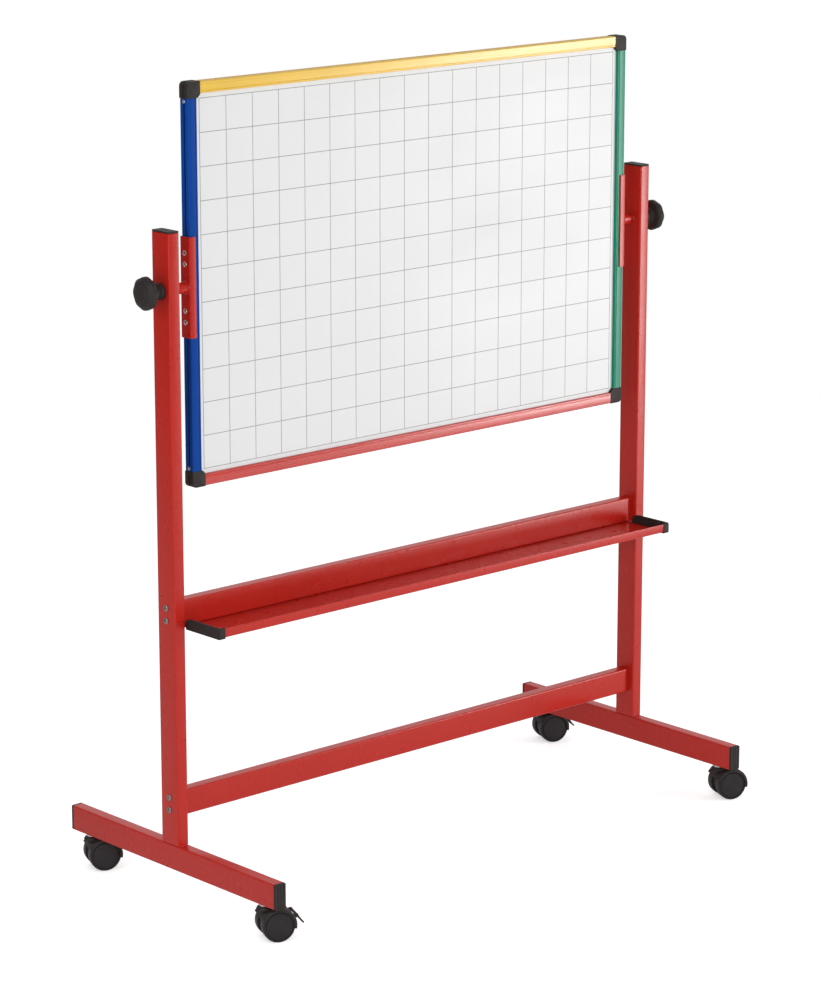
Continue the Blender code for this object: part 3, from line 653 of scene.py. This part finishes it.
def rail(node, axis, slot, edge, sign):
    low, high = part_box(node)
    index = "XYZ".index(axis)
    section = rail_section()
    if axis == "Z":
        outline = [(edge - sign * s, d) for s, d in section]
    else:
        outline = [(d, edge - sign * s) for s, d in section]
    piece(f"{node}_extrusion", prism(outline, axis, low[index], high[index]), slot, "board",
          stands_for=node)


def corner_cap(name, sign_x, sign_z):
    """Moulded cap over a corner, cut off inside, with a groove round it and a lug up each rail."""
    node = f"corner_cap_{name}"
    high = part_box("corner_cap_top_right")[1]
    out_x, out_z, depth = high.x, high.z - PIVOT.z, high.y
    inset = 19.4 * MM           # from the outer edge to the diagonal cut's ends
    leg_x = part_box("rail_top")[1].x + GAP
    leg_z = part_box("rail_right")[1].z - PIVOT.z + GAP

    outline = soften([(leg_x, out_z, 0.6 * MM), (leg_x, out_z - inset, 1 * MM),
                      (out_x - inset, leg_z, 1 * MM), (out_x, leg_z, 0.6 * MM),
                      (out_x, out_z, 7 * MM)], 9)
    shape = prism(outline, "Y", -depth, depth)
    rims = [e for e in shape.edges if abs(e.verts[0].co.y - e.verts[1].co.y) < 1e-6]
    bmesh.ops.bevel(shape, geom=rims, offset=1.5 * MM, segments=5, profile=0.5, affect="EDGES",
                    clamp_overlap=True)
    edge_x, edge_z = out_x - CAP_PROUD, out_z - CAP_PROUD
    near, far, room = CHAMBER
    lug = 11.5 * MM
    lugs = [block((leg_x - lug, GAP - room, edge_z - far + GAP),
                  (leg_x + 3 * MM, room - GAP, edge_z - near - GAP)),
            block((edge_x - far + GAP, GAP - room, leg_z - lug),
                  (edge_x - near - GAP, room - GAP, leg_z + 3 * MM))]
    slot = block((0, -GROOVE_HALF, 0), (edge_x - GROOVE_IN, GROOVE_HALF, edge_z - GROOVE_IN))
    proud, past = 1 * MM, 2 * MM
    band = prism(soften([(leg_x - past, out_z + proud, 0), (out_x + proud, out_z + proud, 8 * MM),
                         (out_x + proud, leg_z - past, 0), (out_x - proud, leg_z - past, 0),
                         (out_x - proud, out_z - proud, 6 * MM), (leg_x - past, out_z - proud, 0)], 9),
                 "Y", -SLOT_HALF, SLOT_HALF)
    shape = cut(fuse(shape, *lugs), slot, band)
    place = Matrix.Translation((0, 0, PIVOT.z)) @ Matrix.Diagonal((sign_x, 1, sign_z, 1))
    piece(f"{node}_moulding", moved(shape, place), "black_plastic", "board", stands_for=node, angle=40)


def squares(name, face_y, outward):
    """The printed 50 mm squares, as a hair-thin film on the writing face."""
    pitch, columns, rows, width, film = 50 * MM, 18, 12, 1.0 * MM, 0.04 * MM
    def edges(count, middle):
        lines = [middle + (i - (count - 1) / 2) * pitch for i in range(count)]
        return [line + side * width / 2 for line in lines for side in (-1, 1)]
    across, up = edges(columns, 0.0), edges(rows, PIVOT.z)
    bm = bmesh.new()
    grid = [[bm.verts.new((x, face_y, z)) for z in up] for x in across]
    faces = [bm.faces.new((grid[i][j], grid[i + 1][j], grid[i + 1][j + 1], grid[i][j + 1]))
             for i in range(len(across) - 1) for j in range(len(up) - 1)
             if i % 2 == 0 or j % 2 == 0]
    grown = bmesh.ops.extrude_face_region(bm, geom=faces)["geom"]
    bmesh.ops.translate(bm, verts=[g for g in grown if isinstance(g, bmesh.types.BMVert)],
                        vec=Vector((0, outward * film, 0)))
    bmesh.ops.recalc_face_normals(bm, faces=bm.faces)
    piece(name, bm, "white_enamel", "board", mat=INK, angle=30)


def rivet(name, at, axis_sign, radius, height, slot="bright_steel"):
    """Domed rivet head on a face that looks along +X or -X."""
    dome = [(-0.6 * MM, 0), (-0.6 * MM, radius), (0.25 * MM, radius)]
    dome += [(0.25 * MM + (height - 0.25 * MM) * sin(radians(a)), radius * cos(radians(a)))
             for a in (15, 30, 45, 60, 75)]
    dome.append((height, 0))
    shape = lathe(dome, "X", (0, 0, 0), 32)
    piece(name, moved(shape, Matrix.Translation(at) @ Matrix.Diagonal((axis_sign, 1, 1, 1))),
          slot, "board", angle=50)


def pivot(side, sign):
    """Folded channel over the rail, its rivets, the welded boss and the spindle."""
    node = f"pivot_bracket_{side}"
    low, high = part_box(node)
    reach = max(abs(low.x), abs(high.x))
    lip = min(abs(low.x), abs(high.x))
    thick = 2 * MM
    web_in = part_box("rail_right")[1].x + GAP
    web_out = web_in + thick
    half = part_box("rail_right")[1].y + GAP + thick
    outline = soften([(lip, -half, 0.4 * MM), (web_out, -half, 2.6 * MM), (web_out, half, 2.6 * MM),
                      (lip, half, 0.4 * MM), (lip, half - thick, 0.4 * MM),
                      (web_in, half - thick, 0.7 * MM), (web_in, thick - half, 0.7 * MM),
                      (lip, thick - half, 0.4 * MM)], 7)
    channel = prism(outline, "Z", low.z, high.z)
    upright_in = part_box("upright_right")[0].x
    boss_end = upright_in - 1.8 * MM
    boss_r, neck_r, rod_r = 8.5 * MM, 7.5 * MM, 5 * MM
    profile = soften([(web_out - 1 * MM, 0, 0), (web_out - 1 * MM, boss_r, 0),
                      (boss_end - 7.5 * MM, boss_r, 1.0 * MM), (boss_end - 7.0 * MM, neck_r, 0.8 * MM),
                      (boss_end, neck_r, 0.8 * MM), (boss_end, rod_r, 0.3 * MM),
                      (reach - 1 * MM, rod_r, 0.3 * MM), (reach, rod_r - 1 * MM, 0),
                      (reach, 0, 0)], 6, closed=False)
    shape = fuse(channel, lathe(profile, "X", PIVOT, 64))
    piece(f"{node}_channel", sided(shape, sign), "red_coat", "board", stands_for=node,
          bevel=0.25 * MM)
    bead = [(-0.8, -1.0), (-0.8, 1.9), (0.15, 1.8), (0.9, 0.9), (1.8, 0.1), (1.8, -1.0)]
    fillet = lathe([(web_out + a * MM, boss_r + b * MM) for a, b in bead], "X", PIVOT, 96,
                   lambda place, radius, angle: radius + 0.12 * MM * sin(31 * angle))
    piece(f"pivot_weld_{side}", sided(fillet, sign), "red_coat", "board", angle=60)
    for row, rise in (("a", 51), ("b", 34.5), ("c", -35), ("d", -52)):
        rivet(f"pivot_rivet_{row}_{side}", (sign * web_out, 0, PIVOT.z + rise * MM), sign,
              4.0 * MM, 1.5 * MM)
    washer_r = 6.8 * MM
    washer = pipe(arc((0, PIVOT.z), washer_r, 0, 360, 48)[:-1],
                  arc((0, PIVOT.z), rod_r + 0.4 * MM, 0, 360, 48)[:-1],
                  "X", boss_end + 0.15 * MM, upright_in - 0.25 * MM)
    piece(f"friction_washer_{side}", sided(washer, sign), "bright_steel", "board",
          bevel=0.2 * MM)


def knob(side, sign):
    """Clamping knob with eight soft lobes, a stepped neck and a crowned face."""
    node = f"knob_{side}"
    low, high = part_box(node)
    foot = min(abs(low.x), abs(high.x))
    radius = 25 * MM

    def lobed(place, reach, angle):
        share = max(0.0, min(1.0, (reach - 17 * MM) / (6 * MM)))
        wave = 0.5 - 0.5 * cos(8 * angle)
        return reach - 1.0 * MM * share * wave ** 1.3

    profile = soften([(17 * MM, 0, 0), (17 * MM, 5.3 * MM, 0.3 * MM), (0, 5.3 * MM, 0.5 * MM),
                      (0, 12.5 * MM, 0.7 * MM), (3 * MM, 12.5 * MM, 1.0 * MM),
                      (6 * MM, 11.2 * MM, 2 * MM), (14 * MM, 10.6 * MM, 5 * MM),
                      (19.5 * MM, 13.5 * MM, 3 * MM), (21.5 * MM, 22.5 * MM, 3 * MM),
                      (24.5 * MM, radius, 2.5 * MM), (31.5 * MM, radius - 0.3 * MM, 3.5 * MM),
                      (35.6 * MM, 19 * MM, 6 * MM), (37.0 * MM, 12.6 * MM, 0.5 * MM),
                      (36.7 * MM, 12.2 * MM, 0.2 * MM), (36.8 * MM, 11.6 * MM, 0.2 * MM),
                      (37.2 * MM, 11.2 * MM, 0.4 * MM), (37.6 * MM, 0, 0)], 6, closed=False)
    shape = lathe(profile, "X", (foot, 0, PIVOT.z), 160, lobed)
    piece(f"{node}_moulding", sided(shape, sign), "black_plastic", f"knob_{side}",
          stands_for=node, angle=50)


def board():
    rail("rail_top", "X", "yellow_coat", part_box("rail_top")[1].z, 1)
    rail("rail_bottom", "X", "red_rail_coat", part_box("rail_bottom")[0].z, -1)
    rail("rail_left", "Z", "blue_coat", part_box("rail_left")[0].x, -1)
    rail("rail_right", "Z", "green_coat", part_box("rail_right")[1].x, 1)
    for name, sign_x, sign_z in (("top_left", -1, 1), ("top_right", 1, 1),
                                 ("bottom_left", -1, -1), ("bottom_right", 1, -1)):
        corner_cap(name, sign_x, sign_z)
    keep("board_core", "fibreboard")
    for node, outward in (("front_sheet", -1), ("back_sheet", 1)):
        keep(node, "white_enamel")
        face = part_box(node)[0].y if outward < 0 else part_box(node)[1].y
        squares(node.replace("sheet", "squares"), face, outward)
    for side, sign in SIDES:
        pivot(side, sign)
        knob(side, sign)
        rail_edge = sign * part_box("rail_right")[1].x
        for end, sign_z in (("top", 1), ("bottom", -1)):
            at = (rail_edge, 0, PIVOT.z + sign_z * RAIL_SCREW_RISE)
            rivet(f"rail_screw_{end}_{side}", at, sign, RAIL_SCREW_R, 1.0 * MM)


# ---------------------------------------------------------------- castors
# Drawn with the stem axis at the origin, the axle along Y and the wheels trailing to +X.
HOOD_FROM, HOOD_TO = -12, 152            # degrees round the hub, from the trailing side


class Castor:
    def __init__(self, tag):
        self.tag = tag
        self.body = f"castor_{tag}"
        stem = Vector(JOINTS[f"castor_{tag}_swivel"]["pos_m"])
        hub = Vector(JOINTS[f"wheel_a_{tag}_roll"]["pos_m"])
        trail = Vector((hub.x - stem.x, hub.y - stem.y))
        turn = Matrix.Rotation(atan2(trail.y, trail.x), 4, "Z")
        self.place = Matrix.Translation((stem.x, stem.y, 0)) @ turn
        self.hub = Vector((trail.length, 0, hub.z))
        self.brake = JOINTS.get(f"brake_{tag}_lift")
        self.pin = self.place.inverted() @ Vector(self.brake["pos_m"]) if self.brake else None

    def swept(self, section, first, last, steps=48):
        """Turn a closed (along the axle, from the hub) outline round the hub, by degrees."""
        bm = bmesh.new()
        rings = []
        for i in range(steps + 1):
            angle = radians(first + (last - first) * i / steps)
            rings.append([bm.verts.new((self.hub.x + r * cos(angle), y, self.hub.z + r * sin(angle)))
                          for y, r in section])
        for low, high in zip(rings, rings[1:]):
            for k in range(len(section)):
                j = (k + 1) % len(section)
                bm.faces.new((low[k], low[j], high[j], high[k]))
        bm.faces.new(rings[0])
        bm.faces.new(rings[-1])
        bmesh.ops.recalc_face_normals(bm, faces=bm.faces)
        return bm

    def round_hub(self, radius, first, last, steps):
        return arc((self.hub.x, self.hub.z), radius, first, last, steps)

    def housing(self):
        """Hood over both treads with shallow skirts, the web between them and the socket."""
        outer, top, roof, skirt = 24.0 * MM, 27.7 * MM, 26.0 * MM, 22.7 * MM
        inner = 22.8 * MM
        section = soften([(-outer, skirt, 0.5 * MM), (-outer, top, 2.8 * MM),
                          (outer, top, 2.8 * MM), (outer, skirt, 0.5 * MM),
                          (inner, skirt, 0.4 * MM), (inner, roof, 1.2 * MM),
                          (-inner, roof, 1.2 * MM), (-inner, skirt, 0.4 * MM)], 6)
        hood = self.swept(section, HOOD_FROM, HOOD_TO)
        outline = self.round_hub(roof + 0.8 * MM, HOOD_FROM, HOOD_TO, 40)
        outline += soften([outline[-1] + (0,), (self.hub.x - 13 * MM, 12 * MM, 6 * MM),
                           (self.hub.x + 9 * MM, 12 * MM, 8 * MM), outline[0] + (0,)],
                          8, closed=False)[1:-1]
        web = prism(outline, "Y", -7 * MM, 7 * MM)
        socket = lathe([(20 * MM, 0), (20 * MM, 6 * MM), (21 * MM, 7 * MM), (52.6 * MM, 7 * MM),
                        (53 * MM, 6.6 * MM), (53 * MM, 0)], "Z", (0, 0, 0), 40)
        collar = lathe([(49 * MM, 0), (49 * MM, 12.5 * MM), (51.6 * MM, 11 * MM),
                        (52.9 * MM, 9.5 * MM), (52.9 * MM, 0)], "Z", (0, 0, 0), 48)
        bore = lathe([(27 * MM, 0), (27 * MM, 5.3 * MM), (60 * MM, 5.3 * MM), (60 * MM, 0)],
                     "Z", (0, 0, 0), 32)
        axle_bore = lathe([(-24 * MM, 0), (-24 * MM, 3.3 * MM), (24 * MM, 3.3 * MM),
                           (24 * MM, 0)], "Y", self.hub, 24)
        shape = cut(fuse(hood, web, socket, collar, *self.ears()), bore, axle_bore)
        piece(f"castor_hood_{self.tag}", moved(shape, self.place), "black_plastic", self.body,
              stands_for=f"castor_housing_{self.tag}", bevel=0.3 * MM, angle=40)

    def ears(self):
        """Ears for the brake lever and the pin between them."""
        if not self.brake:
            return []
        across = self.pin - self.hub
        lean = degrees(atan2(across.z, across.x))
        outline = arc((self.pin.x, self.pin.z), 2.8 * MM, lean - 90, lean + 90, 14)
        outline += self.round_hub(26.8 * MM, lean + 9, lean - 9, 6)
        start, stop = 12.3 * MM, 14.7 * MM
        pin = lathe([(-13.5 * MM, 0), (-13.5 * MM, 1.2 * MM), (13.5 * MM, 1.2 * MM),
                     (13.5 * MM, 0)], "Y", self.pin, 20)
        return [prism(outline, "Y", start, stop), prism(outline, "Y", -stop, -start), pin]

    def lever(self):
        """Toe lever of the brake, with a dished toe and grip ribs across it."""
        if not self.brake:
            return
        half = 12 * MM
        outline = arc((0, 0), 2.5 * MM, 80, 235, 16)
        outline += soften([outline[-1] + (0,), (3.4 * MM, -0.9 * MM, 3 * MM),
                           (14.5 * MM, 0.2 * MM, 6 * MM), (19 * MM, 1.4 * MM, 0.6 * MM),
                           (17.7 * MM, 3.6 * MM, 0.9 * MM), (14 * MM, 2.5 * MM, 4 * MM),
                           (3.4 * MM, 2.3 * MM, 4 * MM), outline[0] + (0,)], 5, closed=False)[1:-1]
        arm = prism(outline, "Y", -half, half)
        bore = lathe([(-half - 1 * MM, 0), (-half - 1 * MM, 1.5 * MM), (half + 1 * MM, 1.5 * MM),
                      (half + 1 * MM, 0)], "Y", (0, 0, 0), 24)
        ribs = [lathe([(-9.5 * MM, 0), (-9.5 * MM, 0.6 * MM), (9.5 * MM, 0.6 * MM),
                       (9.5 * MM, 0)], "Y", (along * MM, 0, rise * MM), 16)
                for along, rise in ((10.2, 2.25), (12.4, 2.35), (14.6, 2.6))]
        waist = [block((2.8 * MM, side * 14 * MM - 3.2 * MM, -6 * MM),
                       (11 * MM, side * 14 * MM + 3.2 * MM, 6 * MM)) for side in (-1, 1)]
        hang = Matrix.Translation(self.pin) @ Matrix.Rotation(radians(57), 4, "Y")
        shape = cut(fuse(arm, *ribs), bore, *waist)
        piece(f"brake_toe_lever_{self.tag}", moved(shape, self.place @ hang), "black_plastic",
              f"brake_{self.tag}", stands_for=f"brake_lever_{self.tag}", bevel=0.35 * MM, angle=40)

    def wheel(self, letter, sign):
        """Twin-castor wheel: crowned tread, moulded rim, and a shallow domed cover disc."""
        rim, edge = self.hub.z, 22.3 * MM
        profile = soften([(21.0 * MM, 0, 0), (21.0 * MM, 3.3 * MM, 0), (7.5 * MM, 3.3 * MM, 0.3 * MM),
                          (7.5 * MM, 8 * MM, 0.6 * MM), (9.5 * MM, 10 * MM, 1 * MM),
                          (9.5 * MM, 20 * MM, 1 * MM), (7.5 * MM, 21.5 * MM, 0.6 * MM),
                          (7.5 * MM, rim - 0.15 * MM, 1.5 * MM), (15 * MM, rim, 20 * MM),
                          (edge, rim - 0.2 * MM, 2.2 * MM), (edge, 22.4 * MM, 0.4 * MM),
                          (20.4 * MM, 22.1 * MM, 0.2 * MM), (20.4 * MM, 20.7 * MM, 0.2 * MM),
                          (22.1 * MM, 20.3 * MM, 0.5 * MM), (22.5 * MM, 13 * MM, 20 * MM),
                          (22.9 * MM, 0, 0)], 6, closed=False)
        shape = lathe([(sign * along, radius) for along, radius in profile], "Y", self.hub, 72)
        node = f"castor_wheel_{letter}_{self.tag}"
        piece(f"{node}_tyre", moved(shape, self.place), "wheel_plastic",
              f"wheel_{letter}_{self.tag}", stands_for=node, angle=40)

    def build(self):
        self.housing()
        self.wheel("a", -1)
        self.wheel("b", 1)
        self.lever()
        keep(f"castor_axle_{self.tag}", "bright_steel")


# ---------------------------------------------------------------- studio
def softbox(name, at, aim, width, height, radiance, colour=(1, 1, 1)):
    lamp = bpy.data.lights.new(name, "AREA")
    lamp.shape = "RECTANGLE"
    lamp.size, lamp.size_y = width, height
    lamp.energy = radiance * pi * width * height
    lamp.color = colour
    obj = bpy.data.objects.new(name, lamp)
    obj.location = at
    obj.rotation_euler = (Vector(aim) - Vector(at)).to_track_quat("-Z", "Y").to_euler()
    obj.visible_camera = False
    bpy.context.scene.collection.objects.link(obj)


def studio():
    paper = Shader("pale_paper_floor", (0.86, 0.86, 0.86), 0.9, Specular_IOR_Level=0.1)
    fibre = paper.spread(paper.noise(40.0, 3.0), 0.3, 0.7, 0.0, 1.0)
    paper.link(paper.blend(fibre, (0.85, 0.85, 0.85), (0.88, 0.88, 0.88)), "Base Color")
    seen = paper.node("ShaderNodeLightPath").outputs["Is Camera Ray"]
    paper.put("Emission Color", (1, 1, 1, 1))
    paper.link(paper.spread(seen, 0.0, 1.0, 0.0, 0.5), "Emission Strength")
    disc = bmesh.new()
    disc.faces.new([disc.verts.new((x, y, 0)) for x, y in arc((0, 0), 3.4, 0, 360, 96)[:-1]])
    mesh = bpy.data.meshes.new("floor")
    disc.to_mesh(mesh)
    disc.free()
    mesh.materials.append(paper.mat)
    floor = bpy.data.objects.new("floor", mesh)
    bpy.context.scene.collection.objects.link(floor)

    softbox("key_strip", (2.5, -2.25, 0.9), (0.25, 0, 0.9), 0.4, 1.7, 24.0, (1.0, 0.985, 0.97))
    softbox("left_card", (-1.8, -0.15, 1.15), (-0.4, 0, 1.0), 1.0, 1.3, 1.8)
    softbox("front_card", (-1.9, -3.1, 1.6), (0.0, 0, 0.85), 1.8, 1.6, 6.4)

    world = bpy.data.worlds.new("studio")
    world.use_nodes = True
    nodes, links = world.node_tree.nodes, world.node_tree.links
    nodes.clear()
    way = nodes.new("ShaderNodeTexCoord").outputs["Generated"]

    def glow(direction, start, stop, low, high):
        """Light of the room that grows along a direction."""
        dot, ramp = nodes.new("ShaderNodeVectorMath"), nodes.new("ShaderNodeMapRange")
        dot.operation = "DOT_PRODUCT"
        dot.inputs[1].default_value = direction
        ramp.interpolation_type = "SMOOTHSTEP"
        links.new(way, dot.inputs[0])
        links.new(dot.outputs["Value"], ramp.inputs["Value"])
        for socket, value in zip(("From Min", "From Max", "To Min", "To Max"),
                                 (start, stop, low, high)):
            ramp.inputs[socket].default_value = value
        return ramp.outputs[0]

    total = nodes.new("ShaderNodeMath")
    links.new(glow((0.6, 0.8, 0), 0.2, 0.9, 0.02, 0.72), total.inputs[0])
    links.new(glow((0, 0, 1), 0.1, 1.0, 0.0, 0.68), total.inputs[1])
    seen, around = nodes.new("ShaderNodeBackground"), nodes.new("ShaderNodeBackground")
    seen.inputs["Color"].default_value = (1, 1, 1, 1)
    around.inputs["Color"].default_value = (1, 1, 1, 1)
    path, mix = nodes.new("ShaderNodeLightPath"), nodes.new("ShaderNodeMixShader")
    links.new(total.outputs[0], around.inputs["Strength"])
    links.new(path.outputs["Is Camera Ray"], mix.inputs[0])
    links.new(around.outputs[0], mix.inputs[1])
    links.new(seen.outputs[0], mix.inputs[2])
    links.new(mix.outputs[0], nodes.new("ShaderNodeOutputWorld").inputs["Surface"])
    bpy.context.scene.world = world
    bpy.context.scene.view_settings.view_transform = "Standard"


def camera():
    """A long lens, three-quarter front from the left, a little above the board."""
    lens = bpy.data.cameras.new("camera")
    lens.lens, lens.sensor_width, lens.clip_end = 128.1, 36.0, 50.0
    obj = bpy.data.objects.new("camera", lens)
    obj.location = (-3.645, -4.011, 1.885)
    obj.rotation_euler = (radians(90 - 13.86), 0, radians(-42.19))
    bpy.context.scene.collection.objects.link(obj)
    bpy.context.scene.camera = obj


stand()
board()
for end_name, _ in ENDS:
    for side_name, _ in SIDES:
        Castor(f"{end_name}_{side_name}").build()
studio()
camera()
